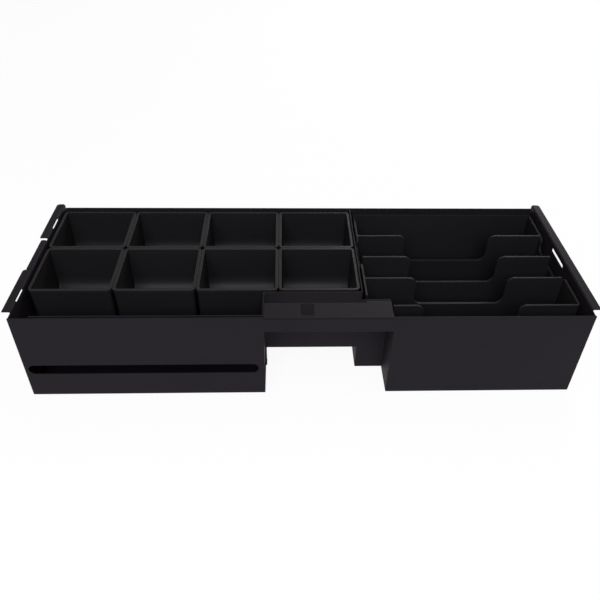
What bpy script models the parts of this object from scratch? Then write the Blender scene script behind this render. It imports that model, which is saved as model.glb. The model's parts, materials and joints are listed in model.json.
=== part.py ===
"""Cash register tray: a folded steel tray with eight lift-out coin cups and a lift-out note insert.

The model is in metres with +Z up. Its origin lies on the surface that the tray stands on, under the
middle of its outline. The front wall, with the lock recess and the slot for cheques, faces -Y, and the
coin cups are on the left, at -X. Sheet pieces are open surfaces that Solidify gives their thickness.
Moulded pieces are blocks with rounded edges, joined and hollowed with Booleans.
"""

import math

import bmesh
import bpy
from mathutils import Matrix, Vector

# Sheet steel and the clearance between pieces that touch
SHEET = 0.0010
GAP = 0.0003
INNER_BEND = 0.0008
OUTER_BEND = INNER_BEND + SHEET
BEND_STEPS = 4
BEND_RELIEF = 0.0010
CORNER_RELIEF = 0.0030

# Tray shell
SHELL_WIDTH = 0.4450
SHELL_DEPTH = 0.1565
WALL_HEIGHT = 0.0835
BACK_FLANGE = 0.0045
BACK_FLANGE_SHORT = 0.0005
FLOOR_FLANGE = 0.0120
FLANGE_FOOT = 0.0060
FLANGE_HEAD = 0.0040

# End panels: lips folded outwards along the top, and tabs behind the front wall
LIP_WIDTH = 0.0060
LEFT_MIDDLE_LIP_WIDTH = 0.0038
LIP_CORNER_SHARE = 0.55
LIP_START = 0.0074
LEFT_LIP_STEP = (0.0598, 0.0606)
LEFT_LIP_NOTCH = (0.1019, 0.1055)
LEFT_SLOTS = ((0.0205, 0.0358), (0.1215, 0.1375))
LEFT_SLOT_DROP = 0.0016
LEFT_SLOT_REACH = 0.0002
RIGHT_SLOT = (0.0704, 0.0976)
RIGHT_SLOT_DROP = 0.0057
RIGHT_SLOT_HEIGHT = 0.0034
TAB_WIDTH = 0.0110
TAB_HEAD = 0.0075
TAB_MARGIN = 0.0030

# Slot in the front wall, for cheques kept under the coin cups
MEDIA_SLOT_HEIGHT = 0.0096
MEDIA_SLOT_LEVEL = 0.0296
MEDIA_SLOT_END = 0.0030
MEDIA_SLOT_TO_LOCK = 0.0048
SLOT_TO_SHELF = 0.0016

# Coin bay: the shelf, the partition beside it and the cups that stand on it
COIN_BAY_WIDTH = 0.2662
TROUGH_DEPTH = 0.0356
CUP_COLUMNS = 4
CUP_ROWS = 2
CUP_LEFT_CLEARANCE = 0.0020
CUP_BACK_CLEARANCE = 0.0023
CUP_RIM_DROP = 0.0020
CUP_WALL = 0.0018
CUP_RIM_WIDTH = 0.0024
CUP_RIM_HEIGHT = 0.0035
CUP_DRAFT = 0.0007
CUP_CORNER = 0.0040
CUP_SCOOP = 0.0140
PARTITION_DROP = 0.0004
PARTITION_FLANGE = 0.0085
SHELF_FLANGE = 0.0120
UPSTAND_SETBACK = 0.0029
UPSTAND_START = 0.0135
UPSTAND_DROP = 0.0003

# Lock recess: the cut-out, the pocket behind it and the bridge plate over it
LOCK_WIDTH = 0.1004
LOCK_PAST_PARTITION = 0.0230
LOCK_HEIGHT = 0.0689
LOCK_DEPTH = 0.0303
WINDOW_HEIGHT = 0.0236
WINDOW_INSET = 0.0010
POCKET_LEFT_SIDE_START = 0.0286
POCKET_LEG_WIDTH = 0.0080
FLOOR_NOTCH_DEPTH = 0.0570
POCKET_LOW_SIDE = 0.0755
POCKET_FOOT = 0.0080
POCKET_FOOT_SPAN = (0.0050, 0.0190)
BRIDGE_DEPTH = 0.0177
BRIDGE_TONGUE_DEPTH = 0.0208
BRIDGE_TONGUE_WIDTH = 0.0191
BRIDGE_SHORT = 0.0014
BRIDGE_SEAM = 0.0005
BRIDGE_FLANGE = 0.0100
STRIKE_WIDTH = 0.0104
STRIKE_SPAN = (0.0030, 0.0165)
STRIKE_FROM_LEFT = 0.0282
STRIKE_CORNER = 0.0010

# Note insert
INSERT_LEFT_GAP = 0.0028
INSERT_RIGHT_GAP = 0.0022
INSERT_FRONT = 0.0202
INSERT_RIM_DROP = 0.0060
INSERT_WALL = 0.0018
INSERT_FLOOR = 0.0020
INSERT_DRAFT = 0.0008
INSERT_CORNER = 0.0030
INSERT_POCKET_SCOOP = 0.0060
DIVIDER_SHARES = (0.2622, 0.4852, 0.7259)
NOTCH_CLEARANCE = 0.0004
NOTCH_WALL_DROP = 0.0170
DIP_LEFT = 0.0450
DIP_WIDTH = 0.0770
DIP_DEPTH = 0.0275
DIP_TOP_RADIUS = 0.0060
DIP_BOTTOM_RADIUS = 0.0070
LEFT_FINGER_DIP_WIDTH = 0.0440
RIGHT_FINGER_DIP_WIDTH = 0.0660
FINGER_DIP_DEPTH = 0.0120
FINGER_DIP_RADIUS = 0.0050

# Places that follow from the sizes above
FRONT = -(SHELL_DEPTH + BACK_FLANGE) / 2
BACK = FRONT + SHELL_DEPTH
REAR = BACK + BACK_FLANGE
SIDE = SHELL_WIDTH / 2
INNER_SIDE = SIDE - SHEET
FITTED_SIDE = INNER_SIDE - GAP
FLANGE_START = FITTED_SIDE - OUTER_BEND
ON_FLOOR = SHEET + GAP
BEHIND_FRONT = FRONT + SHEET + GAP
BEFORE_BACK = BACK - SHEET - GAP
LIP_UNDERSIDE = WALL_HEIGHT
LIP_FOLD = LIP_UNDERSIDE - INNER_BEND
MEDIA_SLOT_TOP = MEDIA_SLOT_LEVEL + MEDIA_SLOT_HEIGHT / 2
MEDIA_SLOT_BOTTOM = MEDIA_SLOT_LEVEL - MEDIA_SLOT_HEIGHT / 2
SHELF_TOP = MEDIA_SLOT_TOP + SLOT_TO_SHELF + SHEET
PARTITION_LEFT = -INNER_SIDE + COIN_BAY_WIDTH
PARTITION_RIGHT = PARTITION_LEFT + SHEET
LOCK_RIGHT = PARTITION_LEFT + LOCK_PAST_PARTITION
LOCK_LEFT = LOCK_RIGHT - LOCK_WIDTH
NOTCH_RIGHT = PARTITION_LEFT - GAP
POCKET_FACE = FRONT + LOCK_DEPTH
BEHIND_POCKET = POCKET_FACE + SHEET + GAP
BRIDGE_LEFT = LOCK_LEFT + GAP
BRIDGE_RIGHT = LOCK_RIGHT - GAP - BRIDGE_SHORT
MEDIA_SLOT_LEFT = -SIDE + MEDIA_SLOT_END
MEDIA_SLOT_RIGHT = LOCK_LEFT - MEDIA_SLOT_TO_LOCK
TAB_SPANS = ((FLANGE_FOOT, MEDIA_SLOT_BOTTOM - TAB_MARGIN),
             (SHELF_TOP + TAB_MARGIN, WALL_HEIGHT - TAB_HEAD))
CUP_PITCH_X = (COIN_BAY_WIDTH - CUP_LEFT_CLEARANCE - GAP) / CUP_COLUMNS
CUPS_BACK = BACK - SHEET - CUP_BACK_CLEARANCE
CUP_PITCH_Y = (CUPS_BACK - FRONT - TROUGH_DEPTH) / CUP_ROWS
CUP_WIDTH = CUP_PITCH_X - GAP
CUP_DEPTH = CUP_PITCH_Y - GAP
CUP_FOOT = SHELF_TOP + GAP
CUP_HEIGHT = WALL_HEIGHT - CUP_RIM_DROP - CUP_FOOT
INSERT_LEFT = PARTITION_RIGHT + INSERT_LEFT_GAP
INSERT_RIGHT = INNER_SIDE - INSERT_RIGHT_GAP
INSERT_RIM = WALL_HEIGHT - INSERT_RIM_DROP
FIRST_WALL = FRONT + INSERT_FRONT
INSERT_DEPTH = BEFORE_BACK - FIRST_WALL

X_AXIS = Vector((1, 0, 0))
Y_AXIS = Vector((0, 1, 0))
Z_AXIS = Vector((0, 0, 1))
ARC_STEPS = 6
ALIGNED = 0.9
SMOOTH_BELOW = math.radians(35)
OVERCUT = 0.0050


def new_collection(name):
    collection = bpy.data.collections.new(name)
    bpy.context.scene.collection.children.link(collection)
    return collection


def new_material(name, colour, roughness, metallic):
    material = bpy.data.materials.new(name)
    material.use_nodes = True
    shader = material.node_tree.nodes["Principled BSDF"]
    shader.inputs["Base Color"].default_value = (*colour, 1.0)
    shader.inputs["Roughness"].default_value = roughness
    shader.inputs["Metallic"].default_value = metallic
    return material


def new_object(name, mesh, collection, material=None):
    obj = bpy.data.objects.new(name, mesh)
    collection.objects.link(obj)
    if material and not mesh.materials:
        mesh.materials.append(material)
    return obj


def mesh_from(bm, name):
    mesh = bpy.data.meshes.new(name)
    bm.to_mesh(mesh)
    bm.free()
    mesh.shade_smooth()
    mesh.set_sharp_from_angle(angle=SMOOTH_BELOW)
    return mesh


def arc(centre, radius, start, end, steps=ARC_STEPS):
    """Points of an arc in the plane of two named directions, given as (u, v) pairs; angles in degrees."""
    points = []
    for step in range(steps + 1):
        turn = math.radians(start + (end - start) * step / steps)
        points.append((centre[0] + radius * math.cos(turn), centre[1] + radius * math.sin(turn)))
    return points


class Sheet:
    """An open surface of flat panels joined by bends. Its first panel faces away from the thickness."""

    def __init__(self):
        self.bm = bmesh.new()
        self.known = {}

    def vertex(self, point):
        key = tuple(round(value, 7) for value in point)
        if key not in self.known:
            self.known[key] = self.bm.verts.new(key)
        return self.known[key]

    def panel(self, outline):
        self.bm.faces.new([self.vertex(point) for point in outline])

    def bend(self, start, end, out, towards, radius, flat=0.0):
        """Folds a strip by a right angle at the edge from start to end, and returns its free edge."""
        start = Vector(start)
        end = Vector(end)
        rows = [(start, end)]
        for step in range(1, BEND_STEPS + 1):
            turn = math.pi / 2 * step / BEND_STEPS
            shift = out * radius * math.sin(turn) + towards * radius * (1 - math.cos(turn))
            rows.append((start + shift, end + shift))
        if flat:
            rows.append((rows[-1][0] + towards * flat, rows[-1][1] + towards * flat))
        for (a, b), (c, d) in zip(rows, rows[1:]):
            self.panel([a, b, d, c])
        return rows[-1]

    def build(self, name, facing, material):
        """Makes the object; facing is the side that the first panel's modelled face looks to."""
        bmesh.ops.recalc_face_normals(self.bm, faces=self.bm.faces)
        self.bm.faces.ensure_lookup_table()
        if self.bm.faces[0].normal.dot(facing) < 0:
            bmesh.ops.reverse_faces(self.bm, faces=self.bm.faces)
        obj = new_object(name, mesh_from(self.bm, name), PARTS, material)
        thickness = obj.modifiers.new("Thickness", "SOLIDIFY")
        thickness.thickness = SHEET
        thickness.offset = -1.0
        thickness.use_even_offset = True
        thickness.use_quality_normals = True
        return obj


def runs_along(edge, axis):
    return abs((edge.verts[1].co - edge.verts[0].co).normalized().dot(axis)) > ALIGNED


def box(name, low, high, rounded_along=None, radius=0.0, steps=ARC_STEPS):
    """A cutter box between two corners; its edges along one axis can be rounded."""
    bm = bmesh.new()
    size = [b - a for a, b in zip(low, high)]
    middle = [(a + b) / 2 for a, b in zip(low, high)]
    bmesh.ops.create_cube(bm, size=1.0, matrix=Matrix.Translation(middle) @ Matrix.Diagonal((*size, 1.0)))
    if rounded_along is not None:
        edges = [e for e in bm.edges if runs_along(e, rounded_along)]
        bmesh.ops.bevel(bm, geom=edges, offset=radius, segments=steps, profile=0.5, affect="EDGES")
    return new_cutter(name, mesh_from(bm, name))


def prism(name, outline, u_axis, v_axis, start, depth):
    """A cutter made from a flat outline of (u, v) points, extruded from start by depth."""
    bm = bmesh.new()
    face = bm.faces.new([bm.verts.new(start + u_axis * u + v_axis * v) for u, v in outline])
    swept = bmesh.ops.extrude_face_region(bm, geom=[face])
    moved = [item for item in swept["geom"] if isinstance(item, bmesh.types.BMVert)]
    bmesh.ops.translate(bm, verts=moved, vec=depth)
    bmesh.ops.recalc_face_normals(bm, faces=bm.faces)
    return new_cutter(name, mesh_from(bm, name))


def scooped_block(name, low, high, draft, scoop, edge):
    """A block that narrows downwards, with a scooped front and back foot and rounded ends."""
    bm = bmesh.new()
    size = [b - a for a, b in zip(low, high)]
    middle = [(a + b) / 2 for a, b in zip(low, high)]
    bmesh.ops.create_cube(bm, size=1.0, matrix=Matrix.Diagonal((*size, 1.0)))
    for vert in bm.verts:
        if vert.co.z < 0:
            vert.co.x -= math.copysign(draft, vert.co.x)
            vert.co.y -= math.copysign(draft, vert.co.y)
    feet = [e for e in bm.edges if all(v.co.z < 0 for v in e.verts) and runs_along(e, X_AXIS)]
    bmesh.ops.bevel(bm, geom=feet, offset=scoop, segments=ARC_STEPS, profile=0.5, affect="EDGES")
    ends = [f for f in bm.faces if abs(f.normal.x) > ALIGNED]
    below_top = size[2] / 2 - GAP / 2
    outline = [e for e in bm.edges if any(f in ends for f in e.link_faces)
               and any(v.co.z < below_top for v in e.verts)]
    bmesh.ops.bevel(bm, geom=outline, offset=edge, segments=ARC_STEPS // 2, profile=0.5, affect="EDGES")
    bmesh.ops.translate(bm, verts=bm.verts, vec=middle)
    return new_cutter(name, mesh_from(bm, name))


def new_cutter(name, mesh):
    obj = new_object(name, mesh, CUTTERS)
    obj.hide_render = True
    obj.display_type = "WIRE"
    return obj


def cut(obj, cutter, operation="DIFFERENCE"):
    boolean = obj.modifiers.new(cutter.name, "BOOLEAN")
    boolean.operation = operation
    boolean.solver = "EXACT"
    boolean.object = cutter
    return obj


def front_edge_with_tabs(bottom, top):
    """The (y, z) points of an upright edge behind the front wall, from bottom to top, and its tabs."""
    fold = BEHIND_FRONT + OUTER_BEND
    points = [(BEHIND_FRONT, bottom)]
    for low, high in TAB_SPANS:
        points += [(BEHIND_FRONT, low - BEND_RELIEF), (fold, low - BEND_RELIEF), (fold, low)]
        points += [(fold, high), (fold, high + BEND_RELIEF), (BEHIND_FRONT, high + BEND_RELIEF)]
    points.append((BEHIND_FRONT, top))
    return points


def tray_shell():
    """Floor, front wall and back wall in one sheet, with small flanges that the end panels are welded to."""
    sheet = Sheet()
    front = FRONT + OUTER_BEND
    back = BACK - OUTER_BEND
    strip = front + CORNER_RELIEF / 2
    flange_front = strip + CORNER_RELIEF
    flange_back = back - CORNER_RELIEF
    right = [(SIDE, front), (SIDE, strip), (FLANGE_START, strip), (FLANGE_START, flange_front),
             (FLANGE_START, flange_back), (FLANGE_START, back)]
    left = [(-x, y) for x, y in reversed(right)]
    sheet.panel([(x, y, 0) for x, y in right + left])
    sheet.bend((-SIDE, front, 0), (SIDE, front, 0), -Y_AXIS, Z_AXIS, OUTER_BEND)
    low_top = WALL_HEIGHT - SHEET - BRIDGE_SEAM
    sheet.panel([(-SIDE, FRONT, OUTER_BEND), (SIDE, FRONT, OUTER_BEND), (SIDE, FRONT, WALL_HEIGHT),
                 (BRIDGE_RIGHT + GAP, FRONT, WALL_HEIGHT), (BRIDGE_RIGHT + GAP, FRONT, low_top),
                 (BRIDGE_LEFT - GAP, FRONT, low_top), (BRIDGE_LEFT - GAP, FRONT, WALL_HEIGHT),
                 (-SIDE, FRONT, WALL_HEIGHT)])
    sheet.bend((FLANGE_START, back, 0), (-FLANGE_START, back, 0), Y_AXIS, Z_AXIS, OUTER_BEND)
    foot = FLANGE_FOOT
    head = WALL_HEIGHT - FLANGE_HEAD
    levels = [OUTER_BEND, foot, head, WALL_HEIGHT]
    sheet.panel([(FLANGE_START, BACK, z) for z in levels]
                + [(-FLANGE_START, BACK, z) for z in reversed(levels)])
    for side in (-1, 1):
        x = side * FLANGE_START
        sheet.bend((x, flange_front, 0), (x, flange_back, 0), side * X_AXIS, Z_AXIS, OUTER_BEND,
                   FLOOR_FLANGE - OUTER_BEND)
        sheet.bend((x, BACK, foot), (x, BACK, head), side * X_AXIS, Y_AXIS, INNER_BEND,
                   BACK_FLANGE - INNER_BEND - BACK_FLANGE_SHORT)
    shell = sheet.build("tray_shell", -Z_AXIS, STEEL)
    cut(shell, box("lock_cutout", (LOCK_LEFT, FRONT - OVERCUT, -OVERCUT),
                   (LOCK_RIGHT, POCKET_FACE, LOCK_HEIGHT)))
    cut(shell, box("floor_notch", (LOCK_LEFT, FRONT + OVERCUT, -OVERCUT),
                   (NOTCH_RIGHT, FRONT + FLOOR_NOTCH_DEPTH, OVERCUT)))
    cut(shell, box("media_slot", (MEDIA_SLOT_LEFT, FRONT - OVERCUT, MEDIA_SLOT_BOTTOM),
                   (MEDIA_SLOT_RIGHT, FRONT + OVERCUT, MEDIA_SLOT_TOP),
                   Y_AXIS, MEDIA_SLOT_HEIGHT / 2 - GAP / 10))


def end_panel(name, side, lips, slots):
    """An upright end panel with outward lips along its top and tabs turned in behind the front wall."""
    sheet = Sheet()
    x = side * SIDE
    strip = FRONT + OUTER_BEND + CORNER_RELIEF / 2 + GAP
    over_bend = OUTER_BEND + GAP
    outline = [(strip, 0), (strip, over_bend)]
    outline += front_edge_with_tabs(over_bend, LIP_FOLD)
    for low, high, _ in lips:
        outline += [(low, LIP_FOLD), (high, LIP_FOLD)]
    if lips[-1][1] < REAR:
        outline.append((REAR, LIP_FOLD))
    outline.append((REAR, 0))
    sheet.panel([(x, y, z) for y, z in outline])
    fold = BEHIND_FRONT + OUTER_BEND
    for low, high in TAB_SPANS:
        sheet.bend((x, fold, low), (x, fold, high), -Y_AXIS, -side * X_AXIS, OUTER_BEND,
                   TAB_WIDTH - OUTER_BEND)
    for low, high, width in lips:
        near, far = sheet.bend((x, low, LIP_FOLD), (x, high, LIP_FOLD), Z_AXIS, side * X_AXIS, INNER_BEND)
        edge = SIDE + width
        radius = (width - INNER_BEND) * LIP_CORNER_SHARE
        corner = arc((edge - radius, high - radius), radius, 0, 90)
        sheet.panel([near, (side * edge, low, LIP_UNDERSIDE)]
                    + [(side * u, v, LIP_UNDERSIDE) for u, v in corner] + [far])
    panel = sheet.build(name, side * X_AXIS, STEEL)
    for number, (low, high, kind) in enumerate(slots, 1):
        cutter_name = f"{name}_slot_{number}"
        if kind == "fold":
            inner = side * (INNER_SIDE - SHEET / 2)
            outer = side * (SIDE + LEFT_SLOT_REACH)
            cutter = box(cutter_name, (min(inner, outer), low, WALL_HEIGHT - LEFT_SLOT_DROP),
                         (max(inner, outer), high, WALL_HEIGHT + OVERCUT))
        else:
            middle = WALL_HEIGHT - RIGHT_SLOT_DROP
            half = RIGHT_SLOT_HEIGHT / 2
            cutter = box(cutter_name, (x - OVERCUT, low, middle - half), (x + OVERCUT, high, middle + half),
                         X_AXIS, half - GAP / 10, ARC_STEPS // 2)
        cut(panel, cutter)


def end_panels():
    left_lips = [(FRONT + LIP_START, FRONT + LEFT_LIP_STEP[0], LIP_WIDTH),
                 (FRONT + LEFT_LIP_STEP[1], FRONT + LEFT_LIP_NOTCH[0], LEFT_MIDDLE_LIP_WIDTH),
                 (FRONT + LEFT_LIP_NOTCH[1], REAR, LIP_WIDTH)]
    end_panel("left_end_panel", -1, left_lips, [(FRONT + a, FRONT + b, "fold") for a, b in LEFT_SLOTS])
    end_panel("right_end_panel", 1, [(FRONT + LIP_START, REAR, LIP_WIDTH)],
              [(FRONT + RIGHT_SLOT[0], FRONT + RIGHT_SLOT[1], "wall")])


def centre_partition():
    """Upright sheet between the coin cups and the note insert, from floor to rim."""
    sheet = Sheet()
    x = PARTITION_RIGHT
    top = WALL_HEIGHT - PARTITION_DROP
    foot_fold = ON_FLOOR + OUTER_BEND
    back_fold = BEFORE_BACK - OUTER_BEND
    foot_front = FRONT + FLOOR_NOTCH_DEPTH + CORNER_RELIEF
    relief_front = foot_front - BEND_RELIEF
    foot_back = back_fold - CORNER_RELIEF
    tab_top = SHELF_TOP - SHELF_FLANGE - CORNER_RELIEF
    sheet.panel([(x, y, z) for y, z in (
        (BEHIND_POCKET, ON_FLOOR), (relief_front, ON_FLOOR), (relief_front, foot_fold),
        (foot_front, foot_fold), (foot_back, foot_fold), (back_fold, foot_fold),
        (back_fold, foot_fold + BEND_RELIEF), (back_fold, tab_top), (back_fold, tab_top + BEND_RELIEF),
        (BEFORE_BACK, tab_top + BEND_RELIEF), (BEFORE_BACK, top), (BEHIND_POCKET, top))])
    sheet.bend((x, foot_front, foot_fold), (x, foot_back, foot_fold), -Z_AXIS, -X_AXIS, OUTER_BEND,
               PARTITION_FLANGE - OUTER_BEND)
    sheet.bend((x, back_fold, foot_fold + BEND_RELIEF), (x, back_fold, tab_top), Y_AXIS, -X_AXIS, OUTER_BEND,
               PARTITION_FLANGE - OUTER_BEND)
    sheet.build("centre_partition", X_AXIS, STEEL)


def coin_shelf():
    """Raised floor under the coin cups, with an upstand behind the front wall and flanges turned down."""
    sheet = Sheet()
    level = SHELF_TOP
    left = -FLANGE_START
    right = PARTITION_LEFT - GAP - OUTER_BEND
    back = BEFORE_BACK - OUTER_BEND
    upstand_face = FRONT + UPSTAND_SETBACK + SHEET
    front = upstand_face + INNER_BEND
    beside_pocket = LOCK_LEFT - SHEET - GAP
    upstand_left = -INNER_SIDE + UPSTAND_START
    side_front = front + CORNER_RELIEF
    side_back = back - CORNER_RELIEF
    sheet.panel([(x, y, level) for x, y in (
        (upstand_left, front), (beside_pocket, front), (beside_pocket, BEHIND_POCKET), (right, BEHIND_POCKET),
        (right, BEHIND_POCKET + CORNER_RELIEF), (right, side_back), (right, back),
        (right - CORNER_RELIEF, back), (left + CORNER_RELIEF, back), (left, back), (left, side_back),
        (left, side_front), (left, front))])
    sheet.bend((right, BEHIND_POCKET + CORNER_RELIEF, level), (right, side_back, level), X_AXIS, -Z_AXIS,
               OUTER_BEND, SHELF_FLANGE - OUTER_BEND)
    sheet.bend((left, side_front, level), (left, side_back, level), -X_AXIS, -Z_AXIS,
               OUTER_BEND, SHELF_FLANGE - OUTER_BEND)
    sheet.bend((left + CORNER_RELIEF, back, level), (right - CORNER_RELIEF, back, level), Y_AXIS, -Z_AXIS,
               OUTER_BEND, SHELF_FLANGE - OUTER_BEND)
    rise = WALL_HEIGHT - UPSTAND_DROP - level - INNER_BEND
    sheet.bend((upstand_left, front, level), (beside_pocket, front, level), -Y_AXIS, Z_AXIS, INNER_BEND, rise)
    sheet.build("coin_shelf", Z_AXIS, STEEL)


def lock_pocket():
    """Two sides and a back plate round the lock, on a leg at its left and a folded foot at its right."""
    sheet = Sheet()
    back_fold = POCKET_FACE - INNER_BEND
    fold = BEHIND_FRONT + OUTER_BEND
    foot_fold = ON_FLOOR + OUTER_BEND
    foot_low, foot_high = (FRONT + value for value in POCKET_FOOT_SPAN)
    back_left = LOCK_LEFT + INNER_BEND
    back_right = LOCK_RIGHT - INNER_BEND
    leg_right = LOCK_LEFT + WINDOW_INSET
    leg_left = leg_right - POCKET_LEG_WIDTH
    leg_top = POCKET_LEFT_SIDE_START - BEND_RELIEF
    step = NOTCH_RIGHT
    sheet.panel([(x, POCKET_FACE, z) for x, z in (
        (leg_left, foot_fold), (leg_right, foot_fold), (leg_right, WINDOW_HEIGHT), (step, WINDOW_HEIGHT),
        (step, ON_FLOOR), (back_right, ON_FLOOR), (back_right, POCKET_LOW_SIDE), (step, POCKET_LOW_SIDE),
        (step, WALL_HEIGHT), (back_left, WALL_HEIGHT), (back_left, POCKET_LEFT_SIDE_START),
        (back_left, leg_top), (leg_left, leg_top))])
    sheet.bend((leg_left, POCKET_FACE, foot_fold), (leg_right, POCKET_FACE, foot_fold), -Z_AXIS, Y_AXIS,
               OUTER_BEND, POCKET_FOOT - OUTER_BEND)
    for side, x, turn, low, top in ((-1, LOCK_LEFT, back_left, POCKET_LEFT_SIDE_START, WALL_HEIGHT),
                                    (1, LOCK_RIGHT, back_right, ON_FLOOR, POCKET_LOW_SIDE)):
        sheet.bend((turn, POCKET_FACE, low), (turn, POCKET_FACE, top), side * X_AXIS, -Y_AXIS, INNER_BEND)
        outline = [(back_fold, low), (back_fold, top), (BEHIND_FRONT, top)]
        for a, b in reversed([(a, min(b, top - TAB_HEAD)) for a, b in TAB_SPANS if a > low]):
            outline += [(BEHIND_FRONT, b + BEND_RELIEF), (fold, b + BEND_RELIEF), (fold, b), (fold, a),
                        (fold, a - BEND_RELIEF), (BEHIND_FRONT, a - BEND_RELIEF)]
            sheet.bend((x, fold, a), (x, fold, b), -Y_AXIS, side * X_AXIS, OUTER_BEND, TAB_WIDTH - OUTER_BEND)
        outline.append((BEHIND_FRONT, low))
        if low < foot_fold:
            outline += [(foot_low - BEND_RELIEF, low), (foot_low - BEND_RELIEF, foot_fold),
                        (foot_low, foot_fold), (foot_high, foot_fold), (foot_high + BEND_RELIEF, foot_fold),
                        (foot_high + BEND_RELIEF, low)]
            sheet.bend((x, foot_low, foot_fold), (x, foot_high, foot_fold), -Z_AXIS, side * X_AXIS,
                       OUTER_BEND, POCKET_FOOT - OUTER_BEND)
        sheet.panel([(x, y, z) for y, z in outline])
    sheet.build("lock_pocket", -Y_AXIS, STEEL)


def lock_bridge():
    """Plate over the lock recess, with a turned-down tongue at its back and a hole for the lid's hook."""
    sheet = Sheet()
    back = FRONT + BRIDGE_DEPTH
    tongue = FRONT + BRIDGE_TONGUE_DEPTH - OUTER_BEND
    tongue_left = BRIDGE_RIGHT - BRIDGE_TONGUE_WIDTH
    sheet.panel([(x, y, WALL_HEIGHT) for x, y in (
        (BRIDGE_LEFT, FRONT), (BRIDGE_RIGHT, FRONT), (BRIDGE_RIGHT, tongue), (tongue_left, tongue),
        (tongue_left, back), (BRIDGE_LEFT, back))])
    sheet.bend((tongue_left, tongue, WALL_HEIGHT), (BRIDGE_RIGHT, tongue, WALL_HEIGHT), Y_AXIS, -Z_AXIS,
               OUTER_BEND, BRIDGE_FLANGE - OUTER_BEND)
    bridge = sheet.build("lock_bridge", Z_AXIS, STEEL)
    strike_left = LOCK_LEFT + STRIKE_FROM_LEFT
    cut(bridge, box("strike_hole", (strike_left, FRONT + STRIKE_SPAN[0], WALL_HEIGHT - OVERCUT),
                    (strike_left + STRIKE_WIDTH, FRONT + STRIKE_SPAN[1], WALL_HEIGHT + OVERCUT),
                    Z_AXIS, STRIKE_CORNER, ARC_STEPS // 2))


def coin_cup_mesh():
    """One coin cup, standing on z = 0 and centred on the Z axis, with a thickened rim."""
    half_x = CUP_WIDTH / 2
    half_y = CUP_DEPTH / 2
    inset = CUP_RIM_WIDTH - CUP_WALL
    body = scooped_block("cup_body", (-half_x + inset, -half_y + inset, 0),
                         (half_x - inset, half_y - inset, CUP_HEIGHT - CUP_RIM_HEIGHT / 2), CUP_DRAFT,
                         CUP_SCOOP + CUP_WALL, CUP_CORNER - inset)
    rim = box("cup_rim", (-half_x, -half_y, CUP_HEIGHT - CUP_RIM_HEIGHT), (half_x, half_y, CUP_HEIGHT),
              Z_AXIS, CUP_CORNER, ARC_STEPS // 2)
    well = scooped_block("cup_well", (-half_x + CUP_RIM_WIDTH, -half_y + CUP_RIM_WIDTH, CUP_WALL),
                         (half_x - CUP_RIM_WIDTH, half_y - CUP_RIM_WIDTH, CUP_HEIGHT + OVERCUT), CUP_DRAFT,
                         CUP_SCOOP, CUP_CORNER - CUP_RIM_WIDTH)
    cut(body, rim, "UNION")
    cut(body, well)
    evaluated = body.evaluated_get(bpy.context.evaluated_depsgraph_get())
    mesh = bpy.data.meshes.new_from_object(evaluated)
    mesh.name = "coin_cup"
    for cutter in (body, rim, well):
        bpy.data.objects.remove(cutter)
    return mesh


def coin_cups():
    """Two rows of four cups, each lifting straight up off the shelf."""
    mesh = coin_cup_mesh()
    for row, row_name in enumerate(("front", "back")[:CUP_ROWS]):
        for column in range(CUP_COLUMNS):
            cup = new_object(f"coin_cup_{row_name}_{column + 1}", mesh, PARTS, PLASTIC)
            cup.location = (-INNER_SIDE + CUP_LEFT_CLEARANCE + CUP_PITCH_X * (column + 0.5),
                            FRONT + TROUGH_DEPTH + CUP_PITCH_Y * (row + 0.5), CUP_FOOT)


def dip_outline(left, right, bottom, top, bottom_radius, top_radius):
    """A dip with rounded feet and flared shoulders, as (u, v) points open to above the top."""
    above = top + OVERCUT
    points = [(left - top_radius, above)]
    points += arc((left - top_radius, top - top_radius), top_radius, 90, 0)
    points += arc((left + bottom_radius, bottom + bottom_radius), bottom_radius, 180, 270)
    points += arc((right - bottom_radius, bottom + bottom_radius), bottom_radius, 270, 360)
    points += arc((right + top_radius, top - top_radius), top_radius, 180, 90)
    points.append((right + top_radius, above))
    return points


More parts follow.
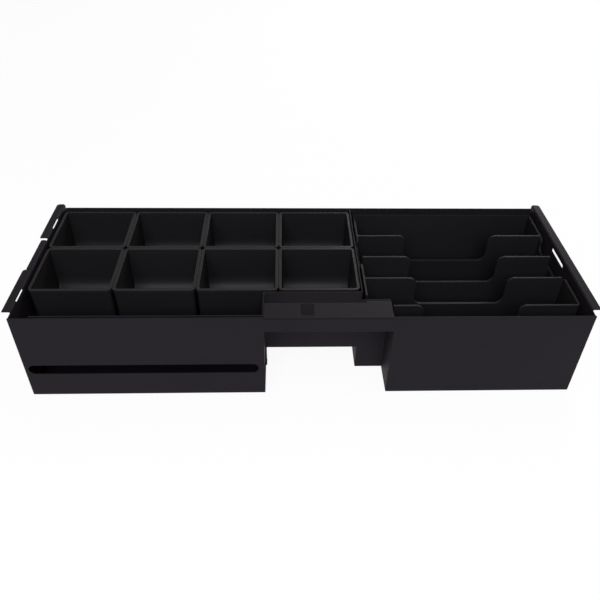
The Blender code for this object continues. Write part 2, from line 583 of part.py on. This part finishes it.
def note_insert():
    """Moulded insert with four deep note pockets, scooped dividers, finger dips and a low-walled notch."""
    insert = box("note_insert", (INSERT_LEFT, FIRST_WALL, ON_FLOOR), (INSERT_RIGHT, BEFORE_BACK, INSERT_RIM),
                 Z_AXIS, INSERT_CORNER, ARC_STEPS // 2)
    CUTTERS.objects.unlink(insert)
    PARTS.objects.link(insert)
    insert.hide_render = False
    insert.display_type = "TEXTURED"
    insert.data.materials.append(PLASTIC)
    notch_right = LOCK_RIGHT + SHEET + GAP + NOTCH_CLEARANCE
    notch_back = BEHIND_POCKET + NOTCH_CLEARANCE
    cut(insert, box("insert_notch", (INSERT_LEFT - OVERCUT, FIRST_WALL - OVERCUT, -OVERCUT),
                    (notch_right, notch_back, INSERT_RIM + OVERCUT)))
    bottom = ON_FLOOR + INSERT_FLOOR
    top = INSERT_RIM + OVERCUT
    inner_left = INSERT_LEFT + INSERT_WALL
    inner_right = INSERT_RIGHT - INSERT_WALL
    dividers = [FIRST_WALL + INSERT_DEPTH * share for share in DIVIDER_SHARES]
    fronts = [face + INSERT_WALL for face in [FIRST_WALL] + dividers]
    backs = dividers + [BEFORE_BACK - INSERT_WALL]
    pockets = [scooped_block(f"note_pocket_{number}", (inner_left, front, bottom), (inner_right, rear, top),
                             INSERT_DRAFT, INSERT_POCKET_SCOOP, INSERT_CORNER - INSERT_WALL)
               for number, (front, rear) in enumerate(zip(fronts, backs), 1)]
    cut(pockets[0], box("notch_core", (INSERT_LEFT, FIRST_WALL, 0),
                        (notch_right + INSERT_WALL, notch_back + INSERT_WALL, top + OVERCUT)))
    for pocket in pockets:
        cut(insert, pocket)
    past_wall = INSERT_WALL + GAP
    cut(insert, box("low_notch_walls",
                    (INSERT_LEFT - OVERCUT, FIRST_WALL + INSERT_WALL, INSERT_RIM - NOTCH_WALL_DROP),
                    (notch_right + past_wall, notch_back + past_wall, INSERT_RIM + OVERCUT)))
    dip_left = INSERT_LEFT + DIP_LEFT
    outline = dip_outline(dip_left, dip_left + DIP_WIDTH, INSERT_RIM - DIP_DEPTH, INSERT_RIM,
                          DIP_BOTTOM_RADIUS, DIP_TOP_RADIUS)
    start = Vector((0, FIRST_WALL - OVERCUT, 0))
    length = backs[-2] + INSERT_WALL * 2 - start.y
    cut(insert, prism("divider_dip", outline, X_AXIS, Z_AXIS, start, Y_AXIS * length))
    finger_back = backs[-2]
    reach = INSERT_WALL + INSERT_DRAFT
    for name, x, width in (("left_finger_dip", INSERT_LEFT - INSERT_WALL, LEFT_FINGER_DIP_WIDTH),
                           ("right_finger_dip", INSERT_RIGHT - reach, RIGHT_FINGER_DIP_WIDTH)):
        outline = dip_outline(finger_back - width + FINGER_DIP_RADIUS, finger_back - FINGER_DIP_RADIUS,
                              INSERT_RIM - FINGER_DIP_DEPTH, INSERT_RIM, FINGER_DIP_RADIUS, FINGER_DIP_RADIUS)
        cut(insert, prism(name, outline, Y_AXIS, Z_AXIS, Vector((x, 0, 0)), X_AXIS * (reach + INSERT_WALL)))


for old in list(bpy.data.objects):
    bpy.data.objects.remove(old, do_unlink=True)
PARTS = new_collection("cash_register_tray")
CUTTERS = new_collection("cutters")
STEEL = new_material("black_powder_coat", (0.020, 0.019, 0.021), 0.45, 0.0)
PLASTIC = new_material("black_moulded_plastic", (0.022, 0.022, 0.023), 0.38, 0.0)

tray_shell()
end_panels()
centre_partition()
coin_shelf()
lock_pocket()
lock_bridge()
coin_cups()
note_insert()
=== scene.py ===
"""Looks of the cash register tray: powder-coated steel, moulded plastic, floor, light and camera."""

import json
import math

import bmesh
import bpy
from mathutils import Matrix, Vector


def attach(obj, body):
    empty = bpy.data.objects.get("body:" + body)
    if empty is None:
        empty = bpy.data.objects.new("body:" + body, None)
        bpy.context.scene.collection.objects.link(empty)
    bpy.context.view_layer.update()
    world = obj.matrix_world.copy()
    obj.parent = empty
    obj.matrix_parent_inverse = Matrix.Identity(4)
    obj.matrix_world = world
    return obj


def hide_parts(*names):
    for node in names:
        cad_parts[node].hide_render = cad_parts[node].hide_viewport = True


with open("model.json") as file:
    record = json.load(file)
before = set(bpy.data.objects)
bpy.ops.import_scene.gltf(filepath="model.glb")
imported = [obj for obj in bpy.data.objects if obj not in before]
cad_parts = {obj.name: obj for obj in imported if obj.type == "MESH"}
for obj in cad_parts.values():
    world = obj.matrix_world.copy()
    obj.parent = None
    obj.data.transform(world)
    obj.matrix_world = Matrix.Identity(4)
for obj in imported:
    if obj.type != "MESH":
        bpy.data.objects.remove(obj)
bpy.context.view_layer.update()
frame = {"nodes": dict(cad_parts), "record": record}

# The record's slot of the steel pieces, and the one plastic piece that is duller than the cups
STEEL_SLOT = "powder_coated_steel"
INSERT_NODE = "note_insert"

# Finish of the CAD's meshes, with distances in metres and angles in degrees
MERGE_DISTANCE = 0.0001
FLAT_ANGLE = 0.6
EDGE_RADIUS = 0.00022
EDGE_SEGMENTS = 2
EDGE_ANGLE = 32.0
FACE_WEIGHT = 80

# Powder coat: linear colours; noises as scale per metre, detail and roughness; and gloss
COAT_COLOURS = ((0.0093, 0.0075, 0.0103), (0.0116, 0.0097, 0.0128))
COAT_SPECK = (0.0200, 0.0185, 0.0212)
COAT_CLOUDS = (14.0, 3.0, 0.55)
COAT_GRAIN = (2600.0, 2.0, 0.60)
COAT_PEEL = (520.0, 1.0, 0.50)
COAT_PEEL_SHARE = 0.40
COAT_ROUGHNESS = (0.55, 0.61)
COAT_SHINE = 0.09

# Moulded plastic: the same, with clouds that are stretched along the flow of the melt
PLASTIC_COLOURS = ((0.0094, 0.0094, 0.0101), (0.0116, 0.0116, 0.0125))
PLASTIC_SPECK = (0.0180, 0.0180, 0.0190)
PLASTIC_FLOW = (7.0, 16.0, 22.0)
PLASTIC_CLOUDS = (1.0, 3.0, 0.50)
PLASTIC_SPARK = (3400.0, 1.0, 0.50)
CUP_ROUGHNESS = (0.42, 0.48)
CUP_SHINE = 0.18
INSERT_ROUGHNESS = (0.50, 0.56)
INSERT_SHINE = 0.11

# Both finishes: where a noise is cut, how strong its specks are, and how deep its grain is in metres
FULL_SPAN = (0.0, 1.0)
CLOUD_SPAN = (0.32, 0.68)
SPECK_SPAN = (0.61, 0.79)
SPECK_STRENGTH = (0.0, 0.52)
GRAIN_SPAN = (0.30, 0.70)
GRAIN_ROUGHNESS = (-0.035, 0.045)
GRAIN_BUMP = 0.43
GRAIN_DEPTH = 0.00003

# Floor, in metres and degrees: it sweeps up all round into a low backdrop, and lift is its share of glow
FLOOR_COLOURS = ((0.90, 0.90, 0.90), (0.92, 0.92, 0.92))
FLOOR_CLOUDS = (3.0, 2.0, 0.50)
FLOOR_GLOW = 1.0
FLOOR_LIFT = 0.92
FLOOR_LEVEL = -0.0002
FLOOR_RADIUS = 6.0
FLOOR_SIDES = 96
SWEEP_RADIUS = 3.0
SWEEP_ANGLE = 90.0
SWEEP_STEPS = 12

# Light: the sky, and each lamp's place and size in metres, watts and colour
SKY_COLOUR = (1.0, 1.0, 1.0)
SKY_STRENGTH = 0.38
LAMPS = {
    "key": ((0.35, 0.15, 1.65), (1.50, 1.30), 6.5, (1.00, 0.97, 0.92)),
    "front_fill": ((-0.12, -1.00, 0.96), (0.80, 0.60), 14.0, (0.96, 0.92, 1.00)),
    "rim_light": ((0.52, 1.24, 0.64), (0.50, 0.35), 6.0, (1.00, 0.98, 0.95)),
}

# Camera: millimetres for lens and sensor, shares of the width for the shift, metres and degrees
CAMERA_LENS = 37.877
CAMERA_SENSOR = 36.0
CAMERA_SHIFT = (-0.01045, -0.01659)
CAMERA_PLACE = (-0.01814, -0.43630, 0.39816)
CAMERA_TURNS = (51.05718, -1.22193, -1.76757)
CAMERA_RANGE = (0.01, 100.0)

# Math, Mix and Mix Shader nodes repeat the names of their sockets, so those go by number
MIX_SHARE = 0
MIX_FIRST_COLOUR = 6
MIX_SECOND_COLOUR = 7
MIX_RESULT_COLOUR = 2

# The alpha of every colour
OPAQUE = 1.0


class Nodes:
    """Short helpers for the node tree of a material or world."""

    def __init__(self, owner):
        owner.use_nodes = True
        self.tree = owner.node_tree
        self.tree.nodes.clear()

    def put(self, socket, value):
        """Links another node's output to a socket, or sets the socket's own value."""
        if isinstance(value, bpy.types.NodeSocket):
            self.tree.links.new(value, socket)
        elif socket.type == "RGBA":
            socket.default_value = (*value, OPAQUE)
        else:
            socket.default_value = value

    def add(self, kind, inputs, **settings):
        """A node with its settings, and its inputs by name or number."""
        node = self.tree.nodes.new(kind)
        for name, value in settings.items():
            setattr(node, name, value)
        for key, value in inputs.items():
            self.put(node.inputs[key], value)
        return node

    def place(self):
        """A point's place on the object, in metres."""
        return self.add("ShaderNodeTexCoord", {}).outputs["Object"]

    def noise(self, place, scale, detail, roughness):
        """Soft random values around one half."""
        inputs = {"Vector": place, "Scale": scale, "Detail": detail, "Roughness": roughness}
        return self.add("ShaderNodeTexNoise", inputs).outputs["Fac"]

    def span(self, value, source, target):
        """A value carried from one span to another, and held at its ends."""
        inputs = {"Value": value, "From Min": source[0], "From Max": source[1],
                  "To Min": target[0], "To Max": target[1]}
        return self.add("ShaderNodeMapRange", inputs).outputs["Result"]

    def math(self, operation, first, second):
        """One sum, product or the like of two values."""
        return self.add("ShaderNodeMath", {0: first, 1: second}, operation=operation).outputs["Value"]

    def mix(self, share, first, second):
        """The first colour with a share of the second."""
        inputs = {MIX_SHARE: share, MIX_FIRST_COLOUR: first, MIX_SECOND_COLOUR: second}
        return self.add("ShaderNodeMix", inputs, data_type="RGBA").outputs[MIX_RESULT_COLOUR]


def grained_shader(n, tone, grain, height, colours, speck, roughness, shine):
    """Ends a tree with a cloudy colour, pale specks, uneven gloss and a fine grain in the surface."""
    base = n.mix(tone, *colours)
    specks = n.span(grain, SPECK_SPAN, SPECK_STRENGTH)
    colour = n.mix(specks, base, speck)
    cloudy_roughness = n.span(tone, FULL_SPAN, roughness)
    grain_roughness = n.span(grain, GRAIN_SPAN, GRAIN_ROUGHNESS)
    whole_roughness = n.math("ADD", cloudy_roughness, grain_roughness)
    bump = n.add("ShaderNodeBump", {"Strength": GRAIN_BUMP, "Distance": GRAIN_DEPTH, "Height": height})
    shader = n.add("ShaderNodeBsdfPrincipled", {
        "Base Color": colour,
        "Roughness": whole_roughness,
        "Specular IOR Level": shine,
        "Normal": bump.outputs["Normal"],
    })
    n.add("ShaderNodeOutputMaterial", {"Surface": shader.outputs["BSDF"]})


def powder_coat():
    """Satin black powder coat: fine grain over slight orange peel, with faint clouds of tone."""
    material = bpy.data.materials.new("black_powder_coat")
    n = Nodes(material)
    place = n.place()
    tone = n.span(n.noise(place, *COAT_CLOUDS), CLOUD_SPAN, FULL_SPAN)
    grain = n.noise(place, *COAT_GRAIN)
    peel = n.noise(place, *COAT_PEEL)
    fine_height = n.math("MULTIPLY", grain, 1.0 - COAT_PEEL_SHARE)
    peel_height = n.math("MULTIPLY", peel, COAT_PEEL_SHARE)
    height = n.math("ADD", fine_height, peel_height)
    grained_shader(n, tone, grain, height, COAT_COLOURS, COAT_SPECK, COAT_ROUGHNESS, COAT_SHINE)
    return material


def moulded_plastic(name, roughness, shine):
    """Black moulded plastic with a fine spark texture and long, faint flow clouds."""
    material = bpy.data.materials.new(name)
    n = Nodes(material)
    place = n.place()
    flow = n.add("ShaderNodeMapping", {"Vector": place, "Scale": PLASTIC_FLOW})
    tone = n.span(n.noise(flow.outputs["Vector"], *PLASTIC_CLOUDS), CLOUD_SPAN, FULL_SPAN)
    spark = n.noise(place, *PLASTIC_SPARK)
    grained_shader(n, tone, spark, spark, PLASTIC_COLOURS, PLASTIC_SPECK, roughness, shine)
    return material


def floor_paint():
    """Pale paint that keeps shadows. Camera, glossy and transmission rays see it lifted towards white."""
    material = bpy.data.materials.new("studio_floor")
    n = Nodes(material)
    tone = n.span(n.noise(n.place(), *FLOOR_CLOUDS), CLOUD_SPAN, FULL_SPAN)
    paint = n.add("ShaderNodeBsdfDiffuse", {"Color": n.mix(tone, *FLOOR_COLOURS)})
    glow = n.add("ShaderNodeEmission", {"Strength": FLOOR_GLOW})
    rays = n.add("ShaderNodeLightPath", {}).outputs
    seen = n.math("MAXIMUM", rays["Is Camera Ray"], rays["Is Glossy Ray"])
    seen = n.math("MAXIMUM", seen, rays["Is Transmission Ray"])
    lift = n.math("MULTIPLY", seen, FLOOR_LIFT)
    shader = n.add("ShaderNodeMixShader", {
        0: lift,
        1: paint.outputs["BSDF"],
        2: glow.outputs["Emission"],
    })
    n.add("ShaderNodeOutputMaterial", {"Surface": shader.outputs["Shader"]})
    return material


def placed(name, data, place=(0.0, 0.0, 0.0)):
    """A new object in the scene."""
    made = bpy.data.objects.new(name, data)
    made.location = place
    bpy.context.scene.collection.objects.link(made)
    return made


def mesh_from(bm, name, material):
    """Turns a bmesh into a mesh of one material."""
    mesh = bpy.data.meshes.new(name)
    bm.to_mesh(mesh)
    bm.free()
    mesh.materials.append(material)
    return mesh


def round_edges(piece):
    """Rounds a piece's sharp edges, and keeps the shading of its flat faces flat."""
    rounding = piece.modifiers.new("Rounded edges", "BEVEL")
    rounding.width = EDGE_RADIUS
    rounding.segments = EDGE_SEGMENTS
    rounding.limit_method = "ANGLE"
    rounding.angle_limit = math.radians(EDGE_ANGLE)
    rounding.use_clamp_overlap = False
    flatness = piece.modifiers.new("Flat faces stay flat", "WEIGHTED_NORMAL")
    flatness.mode = "FACE_AREA"
    flatness.weight = FACE_WEIGHT
    flatness.keep_sharp = False


def finished_piece(node_name, body, material):
    """A copy of a CAD node with whole flat faces, smooth curves and rounded edges, in its place."""
    name = node_name + "_finish"
    bm = bmesh.new()
    bm.from_mesh(frame["nodes"][node_name].data)
    bmesh.ops.remove_doubles(bm, verts=bm.verts, dist=MERGE_DISTANCE)
    bmesh.ops.dissolve_limit(bm, angle_limit=math.radians(FLAT_ANGLE), verts=bm.verts, edges=bm.edges)
    mesh = mesh_from(bm, name, material)
    mesh.shade_smooth()
    piece = placed(name, mesh)
    round_edges(piece)
    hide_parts(node_name)
    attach(piece, body)


def finished_pieces():
    """Every node of the record's bodies in its own finish."""
    steel = powder_coat()
    cup_plastic = moulded_plastic("satin_moulded_plastic", CUP_ROUGHNESS, CUP_SHINE)
    insert_plastic = moulded_plastic("matt_moulded_plastic", INSERT_ROUGHNESS, INSERT_SHINE)
    record = frame["record"]
    slots = {part["node"]: part["material_slot"] for part in record["subparts"]}
    for body, node_names in record["behaviour"]["bodies"].items():
        for node_name in node_names:
            slot = slots[node_name]
            plastic = insert_plastic if node_name == INSERT_NODE else cup_plastic
            finished_piece(node_name, body, steel if slot == STEEL_SLOT else plastic)


def studio_floor():
    """A round floor that sweeps up into a low backdrop, so that no view shows its edge."""
    bm = bmesh.new()
    turns = [math.tau * side / FLOOR_SIDES for side in range(FLOOR_SIDES)]
    rings = []
    for step in range(SWEEP_STEPS + 1):
        rise = math.radians(SWEEP_ANGLE) * step / SWEEP_STEPS
        radius = FLOOR_RADIUS + SWEEP_RADIUS * math.sin(rise)
        height = SWEEP_RADIUS * (1.0 - math.cos(rise))
        places = [(radius * math.cos(turn), radius * math.sin(turn), height) for turn in turns]
        rings.append([bm.verts.new(place) for place in places])
    bm.faces.new(rings[0])
    for lower, upper in zip(rings, rings[1:]):
        for side in range(FLOOR_SIDES):
            bm.faces.new((lower[side - 1], lower[side], upper[side], upper[side - 1]))
    mesh = mesh_from(bm, "studio_floor", floor_paint())
    floor = placed("studio_floor", mesh, (0.0, 0.0, FLOOR_LEVEL))


def studio_sky():
    """Even white light from all sides."""
    world = bpy.data.worlds.new("studio_sky")
    n = Nodes(world)
    sky = n.add("ShaderNodeBackground", {"Color": SKY_COLOUR, "Strength": SKY_STRENGTH})
    n.add("ShaderNodeOutputWorld", {"Surface": sky.outputs["Background"]})
    bpy.context.scene.world = world


def soft_lamp(name, place, size, watts, colour):
    """A rectangular lamp that points at the origin, which is under the middle of the tray."""
    light = bpy.data.lights.new(name, "AREA")
    light.shape = "RECTANGLE"
    light.size, light.size_y = size
    light.energy = watts
    light.color = colour
    lamp = placed(name, light, place)
    lamp.rotation_euler = (-Vector(place)).to_track_quat("-Z", "Y").to_euler()


def photo_camera():
    """The camera at the photograph's viewing angle."""
    lens = bpy.data.cameras.new("photo_camera")
    lens.sensor_width = CAMERA_SENSOR
    lens.lens = CAMERA_LENS
    lens.shift_x, lens.shift_y = CAMERA_SHIFT
    lens.clip_start, lens.clip_end = CAMERA_RANGE
    camera = placed("photo_camera", lens, CAMERA_PLACE)
    camera.rotation_euler = [math.radians(turn) for turn in CAMERA_TURNS]
    bpy.context.scene.camera = camera


finished_pieces()
studio_floor()
studio_sky()
for lamp_name, (place, size, watts, colour) in LAMPS.items():
    soft_lamp(lamp_name, place, size, watts, colour)
photo_camera()
bpy.context.scene.view_settings.view_transform = "Standard"
